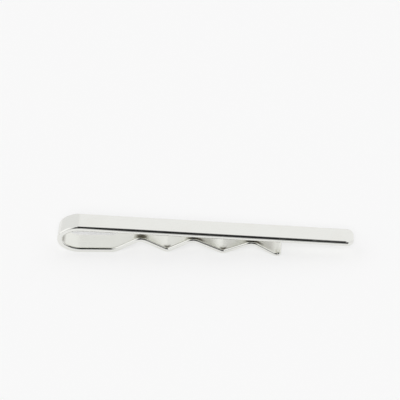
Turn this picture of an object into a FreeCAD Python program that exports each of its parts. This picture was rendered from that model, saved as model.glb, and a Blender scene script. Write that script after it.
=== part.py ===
# Spring tie clip: one strip of polished silver, folded into a bow and crimped into a wavy tongue.
# Millimetres. X runs from the bow to the free end of the front bar, Y across the strip, Z up.
# The clip lies on its tongue, front bar uppermost, with the origin under the middle of the clip.
import FreeCAD
import Part
import math
import os
from collections import namedtuple

# Strip, whose long edges are rounder on the bar and ease into those of the bow
clip_length = 55.0
strip_width = 5.0
strip_thickness = 1.0
tip_thickness = 0.73
edge_round = 0.35
bar_edge_round = 0.48
bar_edge_ease = 9.0
bar_corner_round = 1.5
tip_corner_round = 0.6

# Front bar: degrees by which it falls from the bow to its free end
bar_fall = 2.5

# Bow: a nose arc between two flatter shoulders
bow_height = 5.6
upper_shoulder_reach = 1.83
upper_shoulder_drop = 0.65
lower_shoulder_reach = 2.1
lower_shoulder_drop = 0.7

# Tongue: hollow-side radii of its bends
root_radius = 3.5
crest_radius = 2.0
valley_radius = 0.6

# Root of the tongue: distance from the nose, and height of its underside
root_station = 9.6
root_lift = 0.12

# Waves: each step runs on from the bend before, gaps are under the bar, lifts above the table
crest_1_step = 5.9
crest_1_gap = 0.7
valley_1_step = 4.9
valley_1_lift = 0.5
crest_2_step = 4.75
crest_2_gap = 0.29
valley_2_step = 5.6
valley_2_lift = 0.4
crest_3_step = 5.2
crest_3_gap = 0.22
valley_3_step = 4.75
valley_3_lift = 0.0

# Tip: degrees by which it turns up, and its straight length
tip_rise = 18.0
tip_length = 0.6

# Straight stub that each flexing bend keeps at both of its ends
bend_tail = 0.4

LEFT = 1
RIGHT = -1
OUTER = "outer"
INNER = "inner"
FACES = (OUTER, INNER)
SMALLEST_EDGE = 1e-6
SHARPEST_SMOOTH = math.radians(10)
QUARTER = math.pi / 2
ACROSS = FreeCAD.Vector(0, 1, 0)
MOST_OF_WALL = 0.48

# Bends of the strip, numbered from the bar to the tip
UPPER_SHOULDER, NOSE, LOWER_SHOULDER = range(3)
ROOT, CREST_1, VALLEY_1, CREST_2, VALLEY_2, CREST_3, VALLEY_3 = range(3, 10)

Bend = namedtuple("Bend", "x z radius thickness turn")
Cut = namedtuple("Cut", "outer inner")

bar_heading = math.pi - math.radians(bar_fall)
tip_heading = math.radians(tip_rise)


def nose_radius():
    """Outside radius of the nose arc, which fills the height between the two shoulder drops."""
    return (bow_height - upper_shoulder_drop - lower_shoulder_drop) / 2


def shoulder(reach, drop, side):
    """A shoulder arc that touches the nose arc and stands one drop beyond it; side is 1 above, -1 below."""
    spread = (reach ** 2 + drop ** 2) / (2 * drop)
    nose = nose_radius()
    x = nose + reach
    z = lower_shoulder_drop + nose - side * (spread - drop)
    return Bend(x, z, nose + spread - strip_thickness, strip_thickness, LEFT)


def bow_bends():
    """The three arcs of the bow, from the bar round to the tongue."""
    radius = nose_radius()
    nose = Bend(radius, lower_shoulder_drop + radius, radius - strip_thickness, strip_thickness, LEFT)
    upper = shoulder(upper_shoulder_reach, upper_shoulder_drop, 1)
    lower = shoulder(lower_shoulder_reach, lower_shoulder_drop, -1)
    return [upper, nose, lower]


def bar_underside(x, upper):
    """Height of the bar's underside at one place along the clip."""
    fall = math.radians(bar_fall)
    start_x = upper.x + upper.radius * math.sin(fall)
    start_z = upper.z + upper.radius * math.cos(fall)
    return start_z - (x - start_x) * math.tan(fall)


def tongue_bends(upper, lower):
    """The root, then a crest and a valley for each wave, on a strip that thins evenly to the last valley."""
    waves = [
        (crest_1_step, crest_1_gap, valley_1_step, valley_1_lift),
        (crest_2_step, crest_2_gap, valley_2_step, valley_2_lift),
        (crest_3_step, crest_3_gap, valley_3_step, valley_3_lift),
    ]
    last_x = root_station + sum(wave[0] + wave[2] for wave in waves)

    def thickness_at(x):
        share = (x - lower.x) / (last_x - lower.x)
        return strip_thickness + share * (tip_thickness - strip_thickness)

    x = root_station
    thickness = thickness_at(x)
    bends = [Bend(x, root_lift + thickness + root_radius, root_radius, thickness, LEFT)]
    for crest_step, gap, valley_step, lift in waves:
        x += crest_step
        thickness = thickness_at(x)
        below_bar = (gap + thickness + crest_radius) / math.cos(math.radians(bar_fall))
        bends.append(Bend(x, bar_underside(x, upper) - below_bar, crest_radius, thickness, RIGHT))
        x += valley_step
        thickness = thickness_at(x)
        bends.append(Bend(x, lift + thickness + valley_radius, valley_radius, thickness, LEFT))
    return bends


def face_radius(bend, face):
    """Radius of one face of the strip round a bend, positive where the strip turns left."""
    hollow_face = INNER if bend.turn == LEFT else OUTER
    wall = 0 if face == hollow_face else bend.thickness
    return bend.turn * (bend.radius + wall)


def run_heading(first, second, face):
    """Heading of the straight run that touches two bends on one face."""
    across = second.x - first.x
    up = second.z - first.z
    lean = (face_radius(second, face) - face_radius(first, face)) / math.hypot(across, up)
    return math.atan2(up, across) - math.asin(max(-1.0, min(1.0, lean)))


def face_headings(bends, face):
    """Headings of the runs before, between and after the bends, free of jumps by whole turns."""
    headings = [bar_heading]
    pairs = zip(bends, bends[1:])
    for heading in [run_heading(a, b, face) for a, b in pairs] + [tip_heading]:
        turn = math.remainder(heading - headings[-1], 2 * math.pi)
        headings.append(headings[-1] + turn)
    return headings


def on_bend(bend, face, heading):
    """The point of one face of a bend at which the strip has this heading."""
    radius = face_radius(bend, face)
    return place(bend.x + radius * math.sin(heading), bend.z - radius * math.cos(heading))


def place(x, z):
    """A point in the near side plane of the strip, in the clip's own frame."""
    return FreeCAD.Vector(x - clip_length / 2, -strip_width / 2, z)


def along(heading, distance):
    """A step along a heading."""
    return FreeCAD.Vector(math.cos(heading), 0, math.sin(heading)) * distance


class Strip:
    """The folded strip seen from its near side, as two faces that run from the bar to the tip."""

    def __init__(self):
        self.bow = bow_bends()
        self.tongue = tongue_bends(self.bow[0], self.bow[-1])
        self.bends = self.bow + self.tongue
        self.headings = {face: face_headings(self.bends, face) for face in FACES}

    def entry(self, number, face):
        """Where a face enters a bend."""
        return on_bend(self.bends[number], face, self.headings[face][number])

    def exit(self, number, face):
        """Where a face leaves a bend."""
        return on_bend(self.bends[number], face, self.headings[face][number + 1])

    def cut_before(self, number, distance):
        """A cut across the run that leads into a bend."""
        steps = [along(self.headings[face][number], distance) for face in FACES]
        return Cut(*[self.entry(number, face) - step for face, step in zip(FACES, steps)])

    def cut_after(self, number, distance):
        """A cut across the run that leads out of a bend."""
        steps = [along(self.headings[face][number + 1], distance) for face in FACES]
        return Cut(*[self.exit(number, face) + step for face, step in zip(FACES, steps)])

    def bar_end(self):
        """The square end of the bar, whose upper corner gives the clip its length."""
        upper_corner = clip_length / 2
        start = self.entry(UPPER_SHOULDER, OUTER)
        return self.cut_before(UPPER_SHOULDER, (start.x - upper_corner) / math.cos(bar_heading))

    def tip_end(self):
        """The square end of the tongue."""
        return self.cut_after(VALLEY_3, tip_length)

    def face_edges(self, face, start, numbers, end):
        """Lines and arcs of one face from one cut to another, round the numbered bends."""
        edges = []
        here = start
        for number in numbers:
            entry = self.entry(number, face)
            leave = self.exit(number, face)
            middle = sum(self.headings[face][number:number + 2]) / 2
            edges += line(here, entry)
            edges.append(Part.Arc(entry, on_bend(self.bends[number], face, middle), leave).toShape())
            here = leave
        return edges + line(here, end)

    def front_bar(self, seam):
        """The bar, whose long edges are rounder than the bow's and ease into them before the seam."""
        end = self.bar_end()
        ease = self.cut_before(UPPER_SHOULDER, bend_tail + bar_edge_ease)
        straight = self.solid(end, [], ease, bar_edge(), end, bar_corner_round)
        sections = [section(ease, bar_edge()), section(seam, long_edge())]
        return straight.fuse(Part.makeLoft(sections, True, True)).removeSplitter().Solids[0]

    def solid(self, start, numbers, end, edge, free_end=None, corner_round=0.0):
        """One zone of the strip between two cuts, its long edges and free end rounded."""
        outer = self.face_edges(OUTER, start.outer, numbers, end.outer)
        inner = self.face_edges(INNER, start.inner, numbers, end.inner)
        edges = outer + line(end.outer, end.inner) + inner + line(start.inner, start.outer)
        profile = Part.Wire(Part.__sortEdges__(edges))
        solid = Part.Face(profile).extrude(ACROSS * strip_width)
        seams = [middle_of(cut) for cut in (start, end) if cut is not free_end]
        if free_end:
            solid = solid.makeFillet(corner_round, corner_edges(solid, free_end))
        return solid.makeFillet(edge, sharp_edges(solid, seams)).Solids[0]


def line(start, end):
    """A straight edge, or nothing where the two points are one."""
    if start.distanceToPoint(end) < SMALLEST_EDGE:
        return []
    return [Part.LineSegment(start, end).toShape()]


def middle_of(cut):
    """Middle of the section at a cut, half way across the strip."""
    half = (cut.outer + cut.inner) * 0.5
    return FreeCAD.Vector(half.x, 0, half.z)


def long_edge():
    """Radius of the long edges of the bow and the tongue, within what the thinnest wall can take."""
    return min(edge_round, MOST_OF_WALL * min(strip_thickness, tip_thickness))


def bar_edge():
    """Radius of the long edges of the bar, within what its wall can take."""
    return min(bar_edge_round, MOST_OF_WALL * strip_thickness)


def section(cut, edge):
    """Outline of the strip at a cut, with its four edges rounded."""
    up = (cut.outer - cut.inner).normalize()
    reach = strip_width / 2 - edge
    rise = cut.outer.distanceToPoint(cut.inner) / 2 - edge
    arcs = []
    for number, (side, level) in enumerate([(1, 1), (-1, 1), (-1, -1), (1, -1)]):
        centre = middle_of(cut) + ACROSS * (side * reach) + up * (level * rise)
        angles = [(number + share) * QUARTER for share in (0, 0.5, 1)]
        points = [centre + (ACROSS * math.cos(angle) + up * math.sin(angle)) * edge for angle in angles]
        arcs.append(Part.Arc(*points).toShape())
    edges = []
    for arc, following in zip(arcs, arcs[1:] + arcs[:1]):
        edges += [arc] + line(arc.Vertexes[-1].Point, following.Vertexes[0].Point)
    return Part.Wire(edges)


def corner_edges(solid, cut):
    """The two edges through the thickness at a free end."""
    middle = (cut.outer + cut.inner) * 0.5
    return [e for e in solid.Edges if abs(abs(e.CenterOfMass.y) - strip_width / 2) < SMALLEST_EDGE
            and math.hypot(e.CenterOfMass.x - middle.x, e.CenterOfMass.z - middle.z) < SMALLEST_EDGE]


def sharp_edges(solid, seams):
    """Edges where two faces meet at an angle, apart from those of the seams to the next zones."""
    chosen = []
    for edge in solid.Edges:
        faces = solid.ancestorsOfType(edge, Part.Face)
        at_seam = any(face.CenterOfMass.distanceToPoint(seam) < SMALLEST_EDGE
                      for face in faces for seam in seams)
        if at_seam:
            continue
        point = edge.valueAt((edge.FirstParameter + edge.LastParameter) / 2)
        normals = [face.normalAt(*face.Surface.parameter(point)) for face in faces]
        if normals[0].getAngle(normals[-1]) > SHARPEST_SMOOTH:
            chosen.append(edge)
    return chosen


def zones():
    """The named zones of the clip, from the bar's free end to the tip of the tongue."""
    strip = Strip()
    bow_start = strip.cut_before(UPPER_SHOULDER, bend_tail)
    bow_end = strip.cut_after(LOWER_SHOULDER, bend_tail)
    root_start = strip.cut_before(ROOT, bend_tail)
    root_end = strip.cut_after(ROOT, bend_tail)
    valley_1_start = strip.cut_before(VALLEY_1, bend_tail)
    valley_1_end = strip.cut_after(VALLEY_1, bend_tail)
    valley_2_start = strip.cut_before(VALLEY_2, bend_tail)
    valley_2_end = strip.cut_after(VALLEY_2, bend_tail)
    tip = strip.tip_end()
    edge = long_edge()
    return {
        "front_bar": strip.front_bar(bow_start),
        "bow_bend": strip.solid(bow_start, [UPPER_SHOULDER, NOSE, LOWER_SHOULDER], bow_end, edge),
        "tongue_leaf": strip.solid(bow_end, [], root_start, edge),
        "root_bend": strip.solid(root_start, [ROOT], root_end, edge),
        "grip_wave_1": strip.solid(root_end, [CREST_1], valley_1_start, edge),
        "valley_bend_1": strip.solid(valley_1_start, [VALLEY_1], valley_1_end, edge),
        "grip_wave_2": strip.solid(valley_1_end, [CREST_2], valley_2_start, edge),
        "valley_bend_2": strip.solid(valley_2_start, [VALLEY_2], valley_2_end, edge),
        "grip_wave_3": strip.solid(valley_2_end, [CREST_3, VALLEY_3], tip, edge, tip, tip_corner_round),
    }


def main():
    os.makedirs("parts", exist_ok=True)
    for name, shape in zones().items():
        print(f"{name}: {shape.Volume:.2f} mm3, valid {shape.isValid()}")
        shape.exportStep(f"parts/{name}.step")


if __name__ == "__main__":
    main()
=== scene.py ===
"""Spring tie clip of polished silver, lying on a white table with its front bar up."""
import math
from collections import namedtuple

import bmesh
import bpy
from bpy.props import FloatProperty, FloatVectorProperty, IntProperty, PointerProperty
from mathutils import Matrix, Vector


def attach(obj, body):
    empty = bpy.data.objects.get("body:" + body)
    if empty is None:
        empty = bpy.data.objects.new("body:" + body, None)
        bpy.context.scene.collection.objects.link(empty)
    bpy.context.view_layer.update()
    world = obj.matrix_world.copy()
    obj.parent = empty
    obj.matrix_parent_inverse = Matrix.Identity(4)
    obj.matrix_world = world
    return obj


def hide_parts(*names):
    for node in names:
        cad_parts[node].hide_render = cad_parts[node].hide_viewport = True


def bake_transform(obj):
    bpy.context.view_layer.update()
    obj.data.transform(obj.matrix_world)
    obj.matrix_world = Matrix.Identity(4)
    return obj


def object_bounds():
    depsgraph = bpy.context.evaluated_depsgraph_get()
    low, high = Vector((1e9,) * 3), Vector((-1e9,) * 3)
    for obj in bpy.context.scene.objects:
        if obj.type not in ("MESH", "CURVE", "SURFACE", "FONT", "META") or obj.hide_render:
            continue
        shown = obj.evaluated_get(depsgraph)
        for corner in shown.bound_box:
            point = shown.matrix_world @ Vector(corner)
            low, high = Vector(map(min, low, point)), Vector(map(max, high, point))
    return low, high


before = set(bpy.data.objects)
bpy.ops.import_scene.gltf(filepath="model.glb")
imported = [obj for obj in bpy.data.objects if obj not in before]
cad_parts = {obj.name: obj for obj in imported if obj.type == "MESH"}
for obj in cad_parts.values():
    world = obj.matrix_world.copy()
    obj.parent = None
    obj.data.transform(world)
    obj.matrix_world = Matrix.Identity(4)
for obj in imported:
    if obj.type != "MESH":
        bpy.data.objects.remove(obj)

bl_info = {
    "name": "Tie clip",
    "version": (1, 0, 0),
    "blender": (4, 5, 0),
    "location": "View3D > Sidebar > Tie clip",
    "description": "Models a folded silver tie clip and the white table that it lies on",
    "category": "Add Mesh",
}

MM = 0.001
CAD_LOW, CAD_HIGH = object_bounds()

# Bends of the strip, numbered from the bar to the tip
UPPER_SHOULDER, NOSE, LOWER_SHOULDER = range(3)
ROOT, CREST_1, VALLEY_1, CREST_2, VALLEY_2, CREST_3, VALLEY_3 = range(3, 10)
LEFT, RIGHT = 1, -1
ABOVE, BELOW = 1, -1
ACROSS = Vector((0, 1, 0))
FAR_UP = Vector((0, 0, 1))
FAR_DOWN = Vector((0, 0, -1))

Bend = namedtuple("Bend", "centre radius thickness")
Station = namedtuple("Station", "point heading thickness")

# Films of painted shade beside the middle of a bend, where the strip lies close under the bar, in
# millimetres:
# where along the strip a film starts and ends and how softly, up to which place across the strip it reaches
# from the near edge, and its greatest share
PaintedShadeFilm = namedtuple("PaintedShadeFilm", "bend start end fade reach most")
WHOLE_WIDTH = 3.0
REACH_FADE = 0.4
PAINTED_SHADE_FILMS = [
    PaintedShadeFilm(CREST_1, -0.9, 1.2, 0.6, -0.95, 1.0),
    PaintedShadeFilm(CREST_1, 1.5, 4.0, 1.0, WHOLE_WIDTH, 0.06),
    PaintedShadeFilm(VALLEY_1, -0.5, 0.6, 0.3, -1.6, 1.0),
    PaintedShadeFilm(CREST_2, -1.0, 1.9, 0.7, -1.4, 1.0),
    PaintedShadeFilm(CREST_2, 1.5, 4.0, 1.0, WHOLE_WIDTH, 0.36),
    PaintedShadeFilm(VALLEY_2, -0.5, 0.6, 0.3, -1.6, 1.0),
    PaintedShadeFilm(CREST_3, -5.0, 1.0, 1.0, WHOLE_WIDTH, 0.21),
    PaintedShadeFilm(CREST_3, -0.9, 1.9, 0.7, -1.4, 1.0),
    PaintedShadeFilm(CREST_3, 1.5, 4.3, 0.9, WHOLE_WIDTH, 0.4),
]

# Painted shade in the hollow of the nose: its share, and how far left of the nose's centre it fades and is
# gone
NOSE_PAINTED_SHADE = 0.7
NOSE_FADE_START = 1.2 * MM
NOSE_FADE_END = 0.5 * MM
# How far under the bar the painted shade begins and is complete, so that the bar itself stays clear of it
UNDER_BAR = (0.1 * MM, 0.25 * MM)

# Patterns of the finish and the paper: how often they repeat in a metre along each axis, and their detail
Pattern = namedtuple("Pattern", "repeats detail")
POLISHING_LINES = Pattern((90, 14000, 90), 3)
TARNISH_CLOUDS = Pattern((260, 260, 260), 4)
SCRATCH_LINES = Pattern((420, 21000, 420), 1)
PAPER_GRAIN = Pattern((900, 900, 900), 3)
# Turns of the noise in degrees, each of which gives another layer of hairline scratches
SCRATCH_TURNS = (11, 38, -27, 74)
# Levels of those patterns at which their effect begins and is complete
POLISHING_LEVELS = (0.35, 0.75)
TARNISH_LEVELS = (0.45, 0.8)
SCRATCH_LEVELS = (0.73, 0.8)

# Soft borders of the shade on the table close behind the clip
SHADE_NEAR = (2.0 * MM, 3.5 * MM)
SHADE_FAR = (5.5 * MM, 9.0 * MM)
SHADE_LEFT = (-29.0 * MM, -26.0 * MM)
SHADE_RIGHT = (5.0 * MM, 20.0 * MM)
# The dark in front of the clip is complete at this many times the distance at which it begins
FULL_DARK = 1.2

# Soft borders of the lights, as parts of the direction towards them: the light low on the wall behind the
# camera, the middle of the far side, and the lights from the left and the right
WALL_TOP = (-0.95, -0.83)
WALL_LEFT = (-0.055, -0.03)
FAR_MIDDLE = (-0.12, 0.0)
LEFT_OUTER = (-0.97, -0.92)
LEFT_INNER = (-0.6, -0.35)
RIGHT_INNER = (0.35, 0.6)
SIDES_FAR = (0.35, 0.65)
WHITE = (1, 1, 1, 1)

# Faces that meet at less than the smooth angle shade as one, and edges over the sharp angle are rounded
SMOOTH_ANGLE = math.radians(35)
SHARP_ANGLE = math.radians(60)
# How much of a face's direction has to point at the inner side
LOOKS_INSIDE = 0.5
# How many thicknesses of the strip the foot and head points of the bow stay clear of its bottom and top
BLEND_CLEARANCE = 1.2
# Points that are closer than this lie on one another
NEAR = 1e-6


def length(name, description, millimetres):
    """A length that the sidebar shows."""
    return FloatProperty(name=name, description=description, default=millimetres * MM, min=0, precision=5,
                         subtype="DISTANCE", unit="LENGTH")


def turn(name, description, degrees):
    """An angle that the sidebar shows."""
    return FloatProperty(name=name, description=description, default=math.radians(degrees), subtype="ANGLE",
                         unit="ROTATION")


def share(name, description, value):
    """A number from nothing to all."""
    return FloatProperty(name=name, description=description, default=value, min=0, soft_max=1, precision=4,
                         subtype="FACTOR")


def direction(name, description, value):
    """One part of a direction, from -1 to 1."""
    return FloatProperty(name=name, description=description, default=value, min=-1, max=1, precision=3)


def colour(name, description, value):
    """A colour without alpha."""
    return FloatVectorProperty(name=name, description=description, default=value, min=0, max=1, size=3,
                               subtype="COLOR")


class TieClipSizes(bpy.types.PropertyGroup):
    """Sizes of the folded strip."""

    clip_length: length("Clip length", "From the nose of the bow to the free end of the bar", 55.0)
    strip_width: FloatProperty(name="Strip width", description="Width of the strip, as the solids have it",
                               default=CAD_HIGH.y - CAD_LOW.y, subtype="DISTANCE", unit="LENGTH")
    strip_thickness: length("Strip thickness", "Thickness of the bar and the bow", 1.0)
    tip_thickness: length("Tip thickness", "Thickness of the tongue at its last valley", 0.73)
    edge_round: length("Edge round", "Radius of the long edges of the bow and the tongue", 0.35)
    bar_edge_round: length("Bar edge round", "Radius of the long edges of the bar", 0.48)
    bar_edge_ease: length("Bar edge ease", "Over which the bar's edges ease into those of the bow", 9)
    bar_corner_round: length("Bar corner round", "Radius of the bar's corners, seen from above", 1.5)
    tip_corner_round: length("Tip corner round", "Radius of the tip's corners, seen from above", 0.6)
    bar_fall: turn("Bar fall", "How far the bar falls towards its free end", 2.5)
    bow_height: length("Bow height", "Height of the bow over the table", 5.6)
    upper_reach: length("Upper reach", "From the middle of the nose to the top of the bow", 1.83)
    upper_drop: length("Upper drop", "From the top of the bow to the top of the nose arc", 0.65)
    lower_reach: length("Lower reach", "From the middle of the nose to the foot of the bow", 2.1)
    lower_drop: length("Lower drop", "From the foot of the bow to the foot of the nose arc", 0.7)
    root_radius: length("Root radius", "Hollow radius of the bend where the waves begin", 3.5)
    crest_radius: length("Crest radius", "Hollow radius of the crests", 2.0)
    valley_radius: length("Valley radius", "Hollow radius of the valleys", 0.6)
    root_station: length("Root station", "From the nose to the root of the waves", 9.6)
    root_lift: length("Root lift", "Height of the root over the table", 0.12)
    crest_1_step: length("Crest 1 step", "From the root to the first crest", 5.9)
    crest_1_gap: length("Crest 1 gap", "From the first crest to the bar", 0.7)
    valley_1_step: length("Valley 1 step", "From the first crest to the first valley", 4.9)
    valley_1_lift: length("Valley 1 lift", "Height of the first valley over the table", 0.5)
    crest_2_step: length("Crest 2 step", "From the first valley to the second crest", 4.75)
    crest_2_gap: length("Crest 2 gap", "From the second crest to the bar", 0.29)
    valley_2_step: length("Valley 2 step", "From the second crest to the second valley", 5.6)
    valley_2_lift: length("Valley 2 lift", "Height of the second valley over the table", 0.4)
    crest_3_step: length("Crest 3 step", "From the second valley to the third crest", 5.2)
    crest_3_gap: length("Crest 3 gap", "From the third crest to the bar", 0.22)
    valley_3_step: length("Valley 3 step", "From the third crest to the last valley", 4.75)
    valley_3_lift: length("Valley 3 lift", "Height of the last valley over the table", 0.0)
    tip_rise: turn("Tip rise", "How far the tip turns up", 18)
    tip_length: length("Tip length", "Straight length of the tip", 0.6)
    bend_tail: length("Bend tail", "Straight stub at both ends of a bend that flexes", 0.4)
    bend_step: turn("Bend step", "Turn of one facet of a bend", 2)
    edge_facets: IntProperty(name="Edge facets", description="Facets across a rounded edge", default=8, min=2)
    corner_facets: IntProperty(name="Corner facets", description="Facets round a corner", default=16, min=2)


class TieClipFinish(bpy.types.PropertyGroup):
    """Finish of the silver."""

    silver: colour("Silver", "Colour of the polished metal", (0.93, 0.933, 0.895))
    tarnish: colour("Tarnish", "Colour of the faint tarnish", (0.86, 0.83, 0.775))
    tarnish_share: share("Tarnish share", "Most of the tarnish colour that shows", 0.25)
    roughness: share("Roughness", "Roughness of the clean polish", 0.07)
    streak_roughness: share("Streak roughness", "What the polishing lines add to the roughness", 0.05)
    scratch_roughness: share("Scratch roughness", "What the hairline scratches add to the roughness", 0.07)
    satin: colour("Satin", "Colour of the inner side, which is less polished", (0.92, 0.925, 0.87))
    satin_roughness: share("Satin roughness", "Roughness of the inner side", 0.2)
    # The next three values paint shade into the narrow gaps under the bar and the hollow of the nose: its
    # dark colour, its share and what it adds to the roughness
    painted_shade: colour("PaintedShadeFilm", "Colour of the polishing residue in the narrow gaps", (0.1, 0.08, 0.058))
    painted_shade_share: share("Residue share", "Most of the residue colour that shows", 0.88)
    painted_shade_roughness: share("Residue roughness", "What the residue adds to the roughness", 0.2)
    streak_relief: length("Streak relief", "Depth of the polishing lines", 0.0004)
    scratch_relief: length("Scratch relief", "Depth of the hairline scratches", 0.0006)


class TieClipStage(bpy.types.PropertyGroup):
    """Table, light and camera."""

    table: colour("Table", "Colour of the white table", (0.92, 0.92, 0.92))
    table_roughness: share("Table roughness", "Roughness of the table's paper", 0.9)
    grain: colour("Grain", "Colour of the grain of the paper", (0.88, 0.88, 0.88))
    grain_share: share("Grain share", "Most of the grain colour that shows", 0.04)
    glow: share("Glow", "How much of the table's white is its own, which thins the shadow", 0.5)
    glow_level: share("Glow level", "Brightness of the table's own white", 1.0)
    mirrored_level: share("Mirrored level", "The same as the metal mirrors it", 0.84)
    shade: share("Shade", "How much of the glow is lost close behind the clip", 0.8)
    table_side: length("Table side", "Side of the square table", 3000)
    table_front: length("Table front", "From the clip to where the table in front of it lies in the dark", 60)
    far_level: share("Far level", "Light from the far side", 0.87)
    far_left_level: share("Far left level", "Light from the far side, left of the middle", 0.78)
    left_level: share("Left level", "Light from the left", 1.0)
    right_level: share("Right level", "Light from the right", 0.8)
    dark_level: share("Dark level", "Light from the dark room behind the camera", 0.008)
    gap_level: share("Gap level", "Light from the dark gap overhead", 0.05)
    wall_level: share("Wall level", "Light from low on the wall behind the camera", 0.36)
    room_left: direction("Room left", "Left end of the dark room", -0.28)
    room_right: direction("Room right", "Right end of the dark room", 0.56)
    room_far: direction("Room far", "Far end of the dark room", -0.15)
    room_edge: direction("Room edge", "Softness of the dark room's ends", 0.08)
    gap_left: direction("Gap left", "Left side of the gap between the lights overhead", -0.1)
    gap_right: direction("Gap right", "Right side of that gap", 0.1)
    gap_far: direction("Gap far", "Far end of that gap", 0.74)
    gap_edge: direction("Gap edge", "Softness of that gap's sides", 0.025)
    lamp_level: FloatProperty(name="Lamp level", description="Light from the lamp over the camera",
                              default=1.8, min=0)
    lamp_spread: turn("Lamp spread", "How wide the lamp looks from the table", 24)
    lamp_elevation: turn("Lamp elevation", "Height of the lamp over the table", 35)
    aim: FloatVectorProperty(name="Aim", description="Point of the table in the middle of the picture",
                             default=(-1.685 * MM, 16.83 * MM, 0), subtype="XYZ", unit="LENGTH")
    elevation: turn("Elevation", "Height of the camera over the table", 32)
    yaw: turn("Yaw", "Turn of the camera round the clip", 2.1)
    distance: length("Distance", "From the camera to the aim", 600)
    lens: FloatProperty(name="Lens", description="Focal length in millimetres", default=282.9,
                        subtype="DISTANCE_CAMERA")


def forward(heading):
    """The direction in which the strip runs where it has this heading."""
    return Vector((math.cos(heading), 0, math.sin(heading)))


class StripLine:
    """The middle line of the folded strip, from the free end of the bar to the tip of the tongue."""

    def __init__(self, sizes):
        self.sizes = sizes
        self.bends = self.bow_bends() + self.tongue_bends()
        self.headings = [math.pi - sizes.bar_fall]
        runs = [self.run_heading(*pair) for pair in zip(self.bends, self.bends[1:])]
        for heading in runs + [sizes.tip_rise]:
            last = self.headings[-1]
            self.headings.append(last + math.remainder(heading - last, 2 * math.pi))

    def bend(self, x, z, hollow_radius, thickness, side):
        """A bend whose hollow has this centre and radius; side says which way the strip turns."""
        centre = Vector((x - self.sizes.clip_length / 2, 0, z))
        return Bend(centre, side * (hollow_radius + thickness / 2), thickness)

    def nose_radius(self):
        """Outside radius of the nose arc, which fills the height between the two shoulder drops."""
        return (self.sizes.bow_height - self.sizes.upper_drop - self.sizes.lower_drop) / 2

    def shoulder(self, reach, drop, side):
        """A shoulder arc that touches the nose arc and stands one drop beyond it."""
        thickness = self.sizes.strip_thickness
        nose = self.nose_radius()
        spread = (reach ** 2 + drop ** 2) / (2 * drop)
        z = self.sizes.lower_drop + nose - side * (spread - drop)
        return self.bend(nose + reach, z, nose + spread - thickness, thickness, LEFT)

    def bow_bends(self):
        """The three arcs of the bow, from the bar round to the tongue."""
        sizes = self.sizes
        nose = self.nose_radius()
        hollow = nose - sizes.strip_thickness
        return [
            self.shoulder(sizes.upper_reach, sizes.upper_drop, ABOVE),
            self.bend(nose, sizes.lower_drop + nose, hollow, sizes.strip_thickness, LEFT),
            self.shoulder(sizes.lower_reach, sizes.lower_drop, BELOW),
        ]

    def bar_underside(self, x):
        """Height of the bar's underside at a distance from the nose."""
        sizes = self.sizes
        upper = self.shoulder(sizes.upper_reach, sizes.upper_drop, ABOVE)
        hollow = upper.radius - sizes.strip_thickness / 2
        start_x = upper.centre.x + sizes.clip_length / 2 + hollow * math.sin(sizes.bar_fall)
        start_z = upper.centre.z + hollow * math.cos(sizes.bar_fall)
        return start_z - (x - start_x) * math.tan(sizes.bar_fall)

    def tongue_bends(self):
        """The root, then a crest and a valley for each wave; the strip thins evenly to the last valley."""
        sizes = self.sizes
        waves = [
            (sizes.crest_1_step, sizes.crest_1_gap, sizes.valley_1_step, sizes.valley_1_lift),
            (sizes.crest_2_step, sizes.crest_2_gap, sizes.valley_2_step, sizes.valley_2_lift),
            (sizes.crest_3_step, sizes.crest_3_gap, sizes.valley_3_step, sizes.valley_3_lift),
        ]
        first_x = self.nose_radius() + sizes.lower_reach
        last_x = sizes.root_station + sum(crest_step + valley_step for crest_step, _, valley_step, _ in waves)

        def thickness_at(x):
            thinned = (x - first_x) / (last_x - first_x)
            return sizes.strip_thickness + thinned * (sizes.tip_thickness - sizes.strip_thickness)

        x = sizes.root_station
        wall = thickness_at(x)
        bends = [self.bend(x, sizes.root_lift + wall + sizes.root_radius, sizes.root_radius, wall, LEFT)]
        for crest_step, gap, valley_step, lift in waves:
            x += crest_step
            wall = thickness_at(x)
            below_bar = (gap + wall + sizes.crest_radius) / math.cos(sizes.bar_fall)
            bends.append(self.bend(x, self.bar_underside(x) - below_bar, sizes.crest_radius, wall, RIGHT))
            x += valley_step
            wall = thickness_at(x)
            bends.append(self.bend(x, lift + wall + sizes.valley_radius, sizes.valley_radius, wall, LEFT))
        return bends

    @staticmethod
    def run_heading(first, second):
        """Heading of the straight run that touches two bends."""
        apart = second.centre - first.centre
        lean = (second.radius - first.radius) / apart.length
        return math.atan2(apart.z, apart.x) - math.asin(max(-1, min(1, lean)))

    def on_bend(self, number, heading):
        """The station of a bend at which the strip has this heading."""
        bend = self.bends[number]
        point = bend.centre + bend.radius * Vector((math.sin(heading), 0, -math.cos(heading)))
        return Station(point, heading, bend.thickness)

    def entry(self, number):
        """Where the strip enters a bend."""
        return self.on_bend(number, self.headings[number])

    def exit(self, number):
        """Where the strip leaves a bend."""
        return self.on_bend(number, self.headings[number + 1])

    def before(self, number, distance):
        """A station on the run that leads into a bend."""
        start = self.exit(number - 1) if number else None
        return self.on_run(self.entry(number), -distance, start)

    def after(self, number, distance):
        """A station on the run that leads out of a bend."""
        last = number == len(self.bends) - 1
        return self.on_run(self.exit(number), distance, None if last else self.entry(number + 1))

    @staticmethod
    def on_run(near, distance, far):
        """A station at a distance along a run, whose thickness lies between those of the run's ends."""
        point = near.point + distance * forward(near.heading)
        thickness = near.thickness
        if far:
            gone = (point - near.point).length / (far.point - near.point).length
            thickness += gone * (far.thickness - near.thickness)
        return Station(point, near.heading, thickness)

    def bar_end(self):
        """The free end of the bar, whose upper corner gives the clip its length."""
        start = self.entry(UPPER_SHOULDER)
        corner_x = start.point.x + math.sin(start.heading) * start.thickness / 2
        distance = (corner_x - self.sizes.clip_length / 2) / math.cos(start.heading)
        return self.before(UPPER_SHOULDER, distance)

    def tip_end(self):
        """The free end of the tongue."""
        return self.after(VALLEY_3, self.sizes.tip_length)


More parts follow.
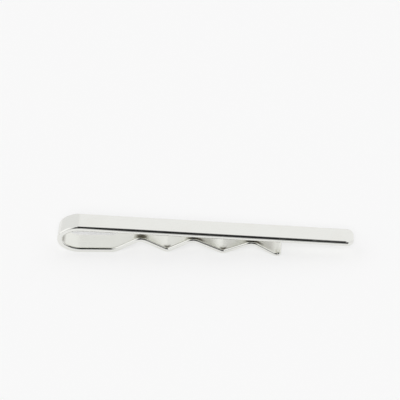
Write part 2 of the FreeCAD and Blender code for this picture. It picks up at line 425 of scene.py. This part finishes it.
def add_section(name, station, width):
    """The strip's section as a plane that faces along the strip."""
    bpy.ops.object.select_all(action="DESELECT")
    turned = (0, math.pi / 2 - station.heading, 0)
    bpy.ops.mesh.primitive_plane_add(size=1, location=station.point, rotation=turned)
    piece = bpy.context.object
    piece.name = name
    piece.data.name = name
    piece.scale = (station.thickness, width, 1)
    bpy.ops.object.transform_apply(location=True, rotation=True, scale=True)
    return piece


def draw_run(here, there):
    """Extrudes the end face along a straight run and thins it to the section at the far end."""
    step = there.point - here.point
    if step.length < NEAR:
        return
    along = forward(there.heading)
    section_axes = (ACROSS.cross(along), ACROSS, along)
    bpy.ops.mesh.extrude_region_move(TRANSFORM_OT_translate={"value": step})
    bpy.ops.transform.resize(value=(there.thickness / here.thickness, 1, 1), orient_type="GLOBAL",
                             orient_matrix=section_axes, orient_matrix_type="GLOBAL",
                             center_override=there.point)


def draw_bend(bend, here, there, facet):
    """Spins the end face round a bend."""
    angle = there.heading - here.heading
    steps = max(1, math.ceil(abs(angle) / facet))
    axis = ACROSS * math.copysign(1, angle)
    bpy.ops.mesh.spin(steps=steps, angle=abs(angle), center=bend.centre, axis=axis)


def end_face_centre(piece):
    """Middle of the face that is selected."""
    mesh = bmesh.from_edit_mesh(piece.data)
    return next(face.calc_center_median() for face in mesh.faces if face.select)


def select_edges(piece, wanted):
    """Selects the edges for which wanted holds, and nothing else."""
    bpy.ops.mesh.select_mode(type="EDGE")
    bpy.ops.mesh.select_all(action="DESELECT")
    mesh = bmesh.from_edit_mesh(piece.data)
    for edge in mesh.edges:
        edge.select_set(bool(wanted(edge)))
    mesh.select_flush_mode()
    bmesh.update_edit_mesh(piece.data)


def on_cut(edge, station):
    """Whether an edge lies in the plane of a cut across the strip."""
    along = forward(station.heading)
    return all(abs((vert.co - station.point).dot(along)) < NEAR for vert in edge.verts)


def merge_doubles():
    """Merges the points of the whole mesh that lie on one another."""
    bpy.ops.mesh.select_all(action="SELECT")
    bpy.ops.mesh.remove_doubles(threshold=NEAR)


def round_edges(piece, sizes, seams, edge_round, free_end, corner_round):
    """Rounds the corners of the free end, then every sharp edge but those of the seams."""
    if free_end:
        select_edges(piece, lambda edge: on_cut(edge, free_end)
                     and abs(edge.verts[0].co.y - edge.verts[1].co.y) < NEAR)
        bpy.ops.mesh.bevel(offset=corner_round, segments=sizes.corner_facets, affect="EDGES")
        merge_doubles()
    select_edges(piece, lambda edge: edge.calc_face_angle(0) > SHARP_ANGLE
                 and not any(on_cut(edge, seam) for seam in seams))
    bpy.ops.mesh.bevel(offset=edge_round, segments=sizes.edge_facets, affect="EDGES", clamp_overlap=False)


def ease_edges(piece, seam, width, had, wanted):
    """Draws the rounded edges of the section at a seam in to a smaller radius, about its sharp corners."""
    up = Vector((-math.sin(seam.heading), 0, math.cos(seam.heading)))
    bpy.ops.mesh.select_mode(type="VERT")
    for side in (LEFT, RIGHT):
        for level in (ABOVE, BELOW):
            corner = seam.point + ACROSS * side * width / 2 + up * level * seam.thickness / 2
            bpy.ops.mesh.select_all(action="DESELECT")
            mesh = bmesh.from_edit_mesh(piece.data)
            for vert in mesh.verts:
                vert.select_set((vert.co - corner).length < had + NEAR)
            mesh.select_flush_mode()
            bmesh.update_edit_mesh(piece.data)
            shrink = wanted / had
            bpy.ops.transform.resize(value=(shrink, shrink, shrink), center_override=corner)


def satin_inside(piece, towards):
    """Gives the second material to the faces that look towards a point on the inner side of the strip."""
    bpy.ops.mesh.select_mode(type="FACE")
    bpy.ops.mesh.select_all(action="DESELECT")
    mesh = bmesh.from_edit_mesh(piece.data)
    for face in mesh.faces:
        looking = (towards - face.calc_center_median()).normalized().dot(face.normal)
        face.select_set(looking > LOOKS_INSIDE and abs(face.normal.y) < NEAR)
    bmesh.update_edit_mesh(piece.data)
    piece.active_material_index = 1
    bpy.ops.object.material_slot_assign()


def strip_piece(context, node, start, bends, end, towards, free_end=None, corner_round=0, ease=None):
    """One zone of the strip, drawn from one station to another round the numbered bends."""
    sizes = context.scene.tie_clip_sizes
    line = StripLine(sizes)
    edge_round = sizes.bar_edge_round if ease else sizes.edge_round
    piece = add_section(f"silver_{node}", start, sizes.strip_width)
    bpy.ops.object.mode_set(mode="EDIT")
    bpy.ops.mesh.select_mode(type="FACE")
    bpy.ops.mesh.select_all(action="SELECT")
    here = start
    for number in bends:
        draw_run(here, line.entry(number))
        draw_bend(line.bends[number], line.entry(number), line.exit(number), sizes.bend_step)
        here = line.exit(number)
    if ease:
        draw_run(here, ease)
        here = ease
    draw_run(here, end)
    if (end_face_centre(piece) - end.point).length > NEAR:
        raise RuntimeError(f"{piece.name} does not end where the strip does")
    merge_doubles()
    bpy.ops.mesh.normals_make_consistent(inside=False)
    seams = [cut for cut in (start, end) if cut != free_end]
    round_edges(piece, sizes, seams, edge_round, free_end, corner_round)
    if ease:
        ease_edges(piece, end, sizes.strip_width, edge_round, sizes.edge_round)
    for material in silver_finishes(context.scene):
        piece.data.materials.append(material)
    satin_inside(piece, towards)
    bpy.ops.object.mode_set(mode="OBJECT")
    bpy.ops.object.shade_smooth_by_angle(angle=SMOOTH_ANGLE)
    bpy.ops.object.modifier_add(type="WEIGHTED_NORMAL")
    piece.modifiers[-1].keep_sharp = True
    bpy.ops.object.modifier_apply(modifier=piece.modifiers[-1].name)
    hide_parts(node)
    return piece


class Value:
    """A number on a socket, which adds a Math node for each step of an expression."""

    def __init__(self, nodes, socket):
        self.nodes = nodes
        self.socket = socket

    def reckon(self, operation, first, second):
        """The result of a Math node on two values, of which one may be a plain number."""
        return self.nodes.value("ShaderNodeMath", {"operation": operation}, {0: first, 1: second})

    def __add__(self, other):
        return self.reckon("ADD", self, other)

    def __radd__(self, other):
        return self.reckon("ADD", other, self)

    def __sub__(self, other):
        return self.reckon("SUBTRACT", self, other)

    def __rsub__(self, other):
        return self.reckon("SUBTRACT", other, self)

    def __mul__(self, other):
        return self.reckon("MULTIPLY", self, other)

    def __rmul__(self, other):
        return self.reckon("MULTIPLY", other, self)


class Nodes:
    """The node tree of a material or world, emptied and filled again."""

    def __init__(self, owner):
        owner.use_nodes = True
        self.tree = owner.node_tree
        self.tree.nodes.clear()

    def add(self, kind, settings, inputs):
        """A node of this kind: its settings first, then the values or links of its sockets."""
        node = self.tree.nodes.new(kind)
        for name, setting in settings.items():
            setattr(node, name, setting)
        for name, given in inputs.items():
            socket = given.socket if isinstance(given, Value) else given
            if isinstance(socket, bpy.types.NodeSocket):
                self.tree.links.new(socket, node.inputs[name])
            else:
                node.inputs[name].default_value = socket
        return node

    def value(self, kind, settings, inputs):
        """The first output of a new node, to reckon with."""
        return Value(self, self.add(kind, settings, inputs).outputs[0])

    def rise(self, value, low, high):
        """0 below one value, 1 above another, and smooth between them."""
        inputs = {"Value": value, "From Min": low, "From Max": high}
        return self.value("ShaderNodeMapRange", {"interpolation_type": "SMOOTHSTEP"}, inputs)

    def mix(self, factor, first, second):
        """A colour between two colours."""
        node = self.add("ShaderNodeMix", {"data_type": "RGBA"}, {"Factor": factor})
        for name, given in (("A", first), ("B", second)):
            socket = next(s for s in node.inputs if s.name == name and s.type == "RGBA")
            if isinstance(given, bpy.types.NodeSocket):
                self.tree.links.new(given, socket)
            else:
                socket.default_value = (*given, 1)
        return next(s for s in node.outputs if s.type == "RGBA")

    def split(self, vector):
        """The three parts of a vector."""
        parts = self.add("ShaderNodeSeparateXYZ", {}, {"Vector": vector}).outputs
        return [Value(self, part) for part in parts]

    def seen(self):
        """1 for what the camera sees, first straight, then mirrored in the metal."""
        path = self.add("ShaderNodeLightPath", {}, {}).outputs
        mirrored = Value(self, path["Is Glossy Ray"]) + Value(self, path["Is Transmission Ray"])
        return Value(self, path["Is Camera Ray"]), mirrored

    def noise(self, place, pattern, turned=0):
        """Noise in a pattern, on a place that is scaled along each axis and then turned about Z."""
        moved = self.add("ShaderNodeMapping", {"vector_type": "POINT"},
                         {"Vector": place, "Rotation": (0, 0, turned), "Scale": pattern.repeats})
        inputs = {"Vector": moved.outputs[0], "Scale": 1.0, "Detail": pattern.detail}
        return self.value("ShaderNodeTexNoise", {}, inputs)


def painted_inside_shade(nodes, place, line):
    """Where shade is painted into the colour: in the hollow of the nose, and in the films round crests and
    valleys.
    """
    x, y, z = nodes.split(place)

    def spread(film):
        along = x - line.bends[film.bend].centre.x
        begun = nodes.rise(along, (film.start - film.fade) * MM, (film.start + film.fade) * MM)
        ended = nodes.rise(along, (film.end - film.fade) * MM, (film.end + film.fade) * MM)
        across = nodes.rise(y, (film.reach - REACH_FADE) * MM, (film.reach + REACH_FADE) * MM)
        return begun * (1 - ended) * (1 - across) * film.most

    nose = line.bends[NOSE].centre.x
    faded = nodes.rise(x, nose - NOSE_FADE_START, nose - NOSE_FADE_END)
    painted_shade = NOSE_PAINTED_SHADE - NOSE_PAINTED_SHADE * faded
    for film in PAINTED_SHADE_FILMS:
        painted_shade = painted_shade + spread(film)
    underside = line.bar_underside(line.sizes.clip_length / 2)
    under_bar = underside - (z + x * math.tan(line.sizes.bar_fall))
    # The painted shade stays under the bar and leaves the bar itself clear
    return painted_shade * nodes.rise(under_bar, *UNDER_BAR)


def silver(name, scene, metal, roughness, painted_shade_share):
    """Silver with polishing lines along the strip, hairline scratches and a breath of tarnish."""
    finish = scene.tie_clip_finish
    material = bpy.data.materials.new(name)
    nodes = Nodes(material)
    place = nodes.add("ShaderNodeTexCoord", {}, {}).outputs["Object"]
    streaks = nodes.noise(place, POLISHING_LINES)
    clouds = nodes.noise(place, TARNISH_CLOUDS)
    scratches = 0.0
    for angle in SCRATCH_TURNS:
        lines = nodes.noise(place, SCRATCH_LINES, math.radians(angle))
        scratches = nodes.rise(lines, *SCRATCH_LEVELS) + scratches
    # Painted shade: a mask of the narrow gaps under the bar and of the hollow of the nose
    painted_shade = painted_inside_shade(nodes, place, StripLine(scene.tie_clip_sizes)) * painted_shade_share
    rough = (roughness + finish.streak_roughness * nodes.rise(streaks, *POLISHING_LEVELS)
             + finish.scratch_roughness * scratches + painted_shade * finish.painted_shade_roughness)
    tarnish = nodes.rise(clouds, *TARNISH_LEVELS) * finish.tarnish_share
    base = nodes.mix(tarnish.socket, metal, finish.tarnish)
    # Mixes the painted shade's dark colour into the silver
    base = nodes.mix(painted_shade.socket, base, finish.painted_shade)
    relief = streaks * finish.streak_relief - scratches * finish.scratch_relief
    bump = nodes.add("ShaderNodeBump", {}, {"Strength": 1.0, "Distance": 1.0, "Height": relief})
    shader = nodes.add("ShaderNodeBsdfPrincipled", {}, {
        "Base Color": base, "Metallic": 1.0, "Roughness": rough, "Normal": bump.outputs[0]})
    nodes.add("ShaderNodeOutputMaterial", {}, {"Surface": shader.outputs[0]})
    return material


def silver_finishes(scene):
    """The mirror polish of the outer side and edges, then the satin of the inner side, which carries the
    painted shade.
    """
    finish = scene.tie_clip_finish
    made = [
        ("mirror_silver", finish.silver, finish.roughness, 0.0),
        ("satin_silver_painted_shade", finish.satin, finish.satin_roughness, finish.painted_shade_share),
    ]
    return [bpy.data.materials.get(name) or silver(name, scene, *look) for name, *look in made]


def white_table(stage):
    """Smooth white paper, part of whose white is its own as seen by the camera and in the metal.

    The camera sees less of that close behind the clip, and the metal mirrors the table far in front as dark.
    """
    material = bpy.data.materials.new("white_table")
    nodes = Nodes(material)
    place = nodes.add("ShaderNodeTexCoord", {}, {}).outputs["Object"]
    grain = nodes.noise(place, PAPER_GRAIN) * stage.grain_share
    white = nodes.mix(grain.socket, stage.table, stage.grain)
    paper = nodes.add("ShaderNodeBsdfPrincipled", {}, {
        "Base Color": white, "Roughness": stage.table_roughness, "Specular IOR Level": 0.0})
    straight, mirrored = nodes.seen()
    x, y, _ = nodes.split(place)
    in_front = 1 - nodes.rise(y, -FULL_DARK * stage.table_front, -stage.table_front)
    behind = nodes.rise(y, *SHADE_NEAR) * (1 - nodes.rise(y, *SHADE_FAR))
    beside = nodes.rise(x, *SHADE_LEFT) * (1 - nodes.rise(x, *SHADE_RIGHT))
    lit = 1 - behind * beside * stage.shade
    shown = paper
    for factor, level in ((straight * lit * stage.glow, stage.glow_level),
                          (mirrored * stage.glow, stage.mirrored_level),
                          (mirrored * in_front, stage.dark_level)):
        own = nodes.add("ShaderNodeEmission", {}, {"Color": WHITE, "Strength": level})
        shown = nodes.add("ShaderNodeMixShader", {}, {0: factor, 1: shown.outputs[0], 2: own.outputs[0]})
    nodes.add("ShaderNodeOutputMaterial", {}, {"Surface": shown.outputs[0]})
    return material


def light_room(scene, stage):
    """Soft white light from all round, with a dark room behind the camera and a dark gap overhead.

    A light low on the wall behind the camera shows in the room; the camera itself sees the table's white.
    """
    world = bpy.data.worlds.new("soft_room")
    scene.world = world
    nodes = Nodes(world)
    towards = nodes.add("ShaderNodeTexCoord", {}, {}).outputs["Generated"]
    x, y, _ = nodes.split(towards)

    def beyond(value, border, softness):
        return nodes.rise(value, border - softness, border + softness)

    edge = stage.room_edge
    room = (beyond(x, stage.room_left, edge) * (1 - beyond(x, stage.room_right, edge))
            * (1 - beyond(y, stage.room_far, edge)))
    gap = (beyond(x, stage.gap_left, stage.gap_edge) * (1 - beyond(x, stage.gap_right, stage.gap_edge))
           * (1 - beyond(y, stage.gap_far, stage.gap_edge)))
    wall = (1 - nodes.rise(y, *WALL_TOP)) * nodes.rise(x, *WALL_LEFT)
    far = stage.far_left_level + nodes.rise(x, *FAR_MIDDLE) * (stage.far_level - stage.far_left_level)
    beside = 1 - nodes.rise(y, *SIDES_FAR)
    left = nodes.rise(x, *LEFT_OUTER) * (1 - nodes.rise(x, *LEFT_INNER)) * beside
    right = nodes.rise(x, *RIGHT_INNER) * beside
    level = far + left * (stage.left_level - far) + right * (stage.right_level - far)
    level = level + gap * (stage.gap_level - level)
    level = level + room * (stage.dark_level + wall * (stage.wall_level - stage.dark_level) - level)
    lights = nodes.add("ShaderNodeBackground", {}, {"Color": WHITE, "Strength": level})
    paper = nodes.add("ShaderNodeBackground", {}, {"Color": (*stage.table, 1), "Strength": 1.0})
    seen = nodes.add("ShaderNodeLightPath", {}, {}).outputs["Is Camera Ray"]
    shown = nodes.add("ShaderNodeMixShader", {}, {0: seen, 1: lights.outputs[0], 2: paper.outputs[0]})
    nodes.add("ShaderNodeOutputWorld", {}, {"Surface": shown.outputs[0]})


def looking_back(towards):
    """The turn of a lamp or camera that stands in this direction and looks back."""
    return (-towards).to_track_quat("-Z", "Y").to_euler()


def add_lamp(stage):
    """A soft lamp over the camera that lights the table and isn't mirrored in the metal."""
    towards = Vector((0, -math.cos(stage.lamp_elevation), math.sin(stage.lamp_elevation)))
    bpy.ops.object.light_add(type="SUN", location=towards, rotation=looking_back(towards))
    lamp = bpy.context.object
    lamp.name = "soft_lamp"
    lamp.data.angle = stage.lamp_spread
    lamp.data.energy = stage.lamp_level
    lamp.visible_glossy = False


class StripOperator:
    """What the operators of the pieces share."""

    bl_options = {"REGISTER", "UNDO"}

    def line_of(self, context):
        """The middle line of the strip, and the length of the stub at a bend that flexes."""
        sizes = context.scene.tie_clip_sizes
        return StripLine(sizes), sizes.bend_tail


class TIECLIP_OT_front_bar(StripOperator, bpy.types.Operator):
    """Model the flat bar that shows in front of the tie"""

    bl_idname = "tie_clip.front_bar"
    bl_label = "Front bar"

    def execute(self, context):
        line, tail = self.line_of(context)
        free_end = line.bar_end()
        sizes = context.scene.tie_clip_sizes
        ease = line.before(UPPER_SHOULDER, tail + sizes.bar_edge_ease)
        piece = strip_piece(context, "front_bar", free_end, [], line.before(UPPER_SHOULDER, tail), FAR_DOWN,
                            free_end, sizes.bar_corner_round, ease)
        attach(piece, "bar")
        return {"FINISHED"}


class TIECLIP_OT_bow_bend(StripOperator, bpy.types.Operator):
    """Model the rounded fold between the bar and the tongue, baked in place without a body"""

    bl_idname = "tie_clip.bow_bend"
    bl_label = "Bow bend"

    def execute(self, context):
        line, tail = self.line_of(context)
        sizes = context.scene.tie_clip_sizes
        start = line.before(UPPER_SHOULDER, tail)
        end = line.after(LOWER_SHOULDER, tail)
        piece = strip_piece(context, "bow_bend", start, [UPPER_SHOULDER, NOSE, LOWER_SHOULDER], end,
                            line.bends[NOSE].centre)
        clear = BLEND_CLEARANCE * sizes.strip_thickness
        foot = Vector((line.bends[NOSE].centre.x, 0, clear))
        head = Vector((foot.x, 0, sizes.bow_height - clear))
        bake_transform(piece)
        return {"FINISHED"}


class TIECLIP_OT_tongue_leaf(StripOperator, bpy.types.Operator):
    """Model the flat start of the tongue under the bar"""

    bl_idname = "tie_clip.tongue_leaf"
    bl_label = "Tongue leaf"

    def execute(self, context):
        line, tail = self.line_of(context)
        start = line.after(LOWER_SHOULDER, tail)
        end = line.before(ROOT, tail)
        piece = strip_piece(context, "tongue_leaf", start, [], end, FAR_UP)
        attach(piece, "leaf")
        return {"FINISHED"}


class TIECLIP_OT_root_bend(StripOperator, bpy.types.Operator):
    """Model the gentle bend where the waves begin, baked in place without a body"""

    bl_idname = "tie_clip.root_bend"
    bl_label = "Root bend"

    def execute(self, context):
        line, tail = self.line_of(context)
        start = line.before(ROOT, tail)
        end = line.after(ROOT, tail)
        piece = strip_piece(context, "root_bend", start, [ROOT], end, FAR_UP)
        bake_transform(piece)
        return {"FINISHED"}


class TIECLIP_OT_grip_waves(StripOperator, bpy.types.Operator):
    """Model the three crests that press on the cloth, the last one with the upturned tip"""

    bl_idname = "tie_clip.grip_waves"
    bl_label = "Grip waves"

    def execute(self, context):
        line, tail = self.line_of(context)
        tip = line.tip_end()
        waves = [
            ("grip_wave_1", "waves", ROOT, [CREST_1], line.before(VALLEY_1, tail), None),
            ("grip_wave_2", "waves", VALLEY_1, [CREST_2], line.before(VALLEY_2, tail), None),
            ("grip_wave_3", "tip", VALLEY_2, [CREST_3, VALLEY_3], tip, tip),
        ]
        corner_round = context.scene.tie_clip_sizes.tip_corner_round
        for node, body, bend_before, bends, end, free_end in waves:
            start = line.after(bend_before, tail)
            piece = strip_piece(context, node, start, bends, end, FAR_UP, free_end, corner_round)
            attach(piece, body)
        return {"FINISHED"}


class TIECLIP_OT_valley_bends(StripOperator, bpy.types.Operator):
    """Model the two tight valleys between the waves; the first goes with the waves, the second is baked in
    place
    """

    bl_idname = "tie_clip.valley_bends"
    bl_label = "Valley bends"

    def execute(self, context):
        line, tail = self.line_of(context)
        for node, valley in (("valley_bend_1", VALLEY_1), ("valley_bend_2", VALLEY_2)):
            start = line.before(valley, tail)
            end = line.after(valley, tail)
            piece = strip_piece(context, node, start, [valley], end, FAR_UP)
            if valley == VALLEY_2:
                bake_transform(piece)
            else:
                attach(piece, "waves")
        return {"FINISHED"}


class TIECLIP_OT_stage(bpy.types.Operator):
    """Lay the white table and set up the light and the camera"""

    bl_idname = "tie_clip.stage"
    bl_label = "Stage"
    bl_options = {"REGISTER", "UNDO"}

    def execute(self, context):
        stage = context.scene.tie_clip_stage
        bpy.ops.object.select_all(action="DESELECT")
        bpy.ops.mesh.primitive_plane_add(size=stage.table_side)
        table = context.object
        table.name = "white_table"
        table.data.materials.append(white_table(stage))
        light_room(context.scene, stage)
        add_lamp(stage)
        flat = math.cos(stage.elevation)
        back = Vector((math.sin(stage.yaw) * flat, -math.cos(stage.yaw) * flat, math.sin(stage.elevation)))
        bpy.ops.object.camera_add(location=Vector(stage.aim) + back * stage.distance,
                                  rotation=looking_back(back))
        camera = context.object
        camera.name = "photo_camera"
        camera.data.lens = stage.lens
        camera.data.dof.use_dof = False
        context.scene.camera = camera
        context.scene.view_settings.view_transform = "Standard"
        return {"FINISHED"}


class TIECLIP_PT_panel(bpy.types.Panel):
    """Lists the pieces of the tie clip and their sizes"""

    bl_label = "Tie clip"
    bl_idname = "TIECLIP_PT_panel"
    bl_space_type = "VIEW_3D"
    bl_region_type = "UI"
    bl_category = "Tie clip"

    def draw(self, context):
        for operator in OPERATORS:
            self.layout.operator(operator.bl_idname)
        for name in GROUPS:
            group = getattr(context.scene, name)
            box = self.layout.box()
            for prop in group.bl_rna.properties:
                if not prop.is_readonly and prop.identifier != "name":
                    box.prop(group, prop.identifier)


GROUPS = {"tie_clip_sizes": TieClipSizes, "tie_clip_finish": TieClipFinish, "tie_clip_stage": TieClipStage}
OPERATORS = [
    TIECLIP_OT_front_bar,
    TIECLIP_OT_bow_bend,
    TIECLIP_OT_tongue_leaf,
    TIECLIP_OT_root_bend,
    TIECLIP_OT_grip_waves,
    TIECLIP_OT_valley_bends,
    TIECLIP_OT_stage,
]
CLASSES = [*GROUPS.values(), *OPERATORS, TIECLIP_PT_panel]


def register():
    """Adds the classes and the scene's groups of values."""
    for cls in CLASSES:
        bpy.utils.register_class(cls)
    for name, group in GROUPS.items():
        setattr(bpy.types.Scene, name, PointerProperty(type=group))


def unregister():
    """Takes away what register added."""
    for name in GROUPS:
        delattr(bpy.types.Scene, name)
    for cls in reversed(CLASSES):
        bpy.utils.unregister_class(cls)


def main():
    """Models the clip and its stage."""
    register()
    for operator in OPERATORS:
        family, name = operator.bl_idname.split(".")
        getattr(getattr(bpy.ops, family), name)()


if __name__ == "__main__":
    main()
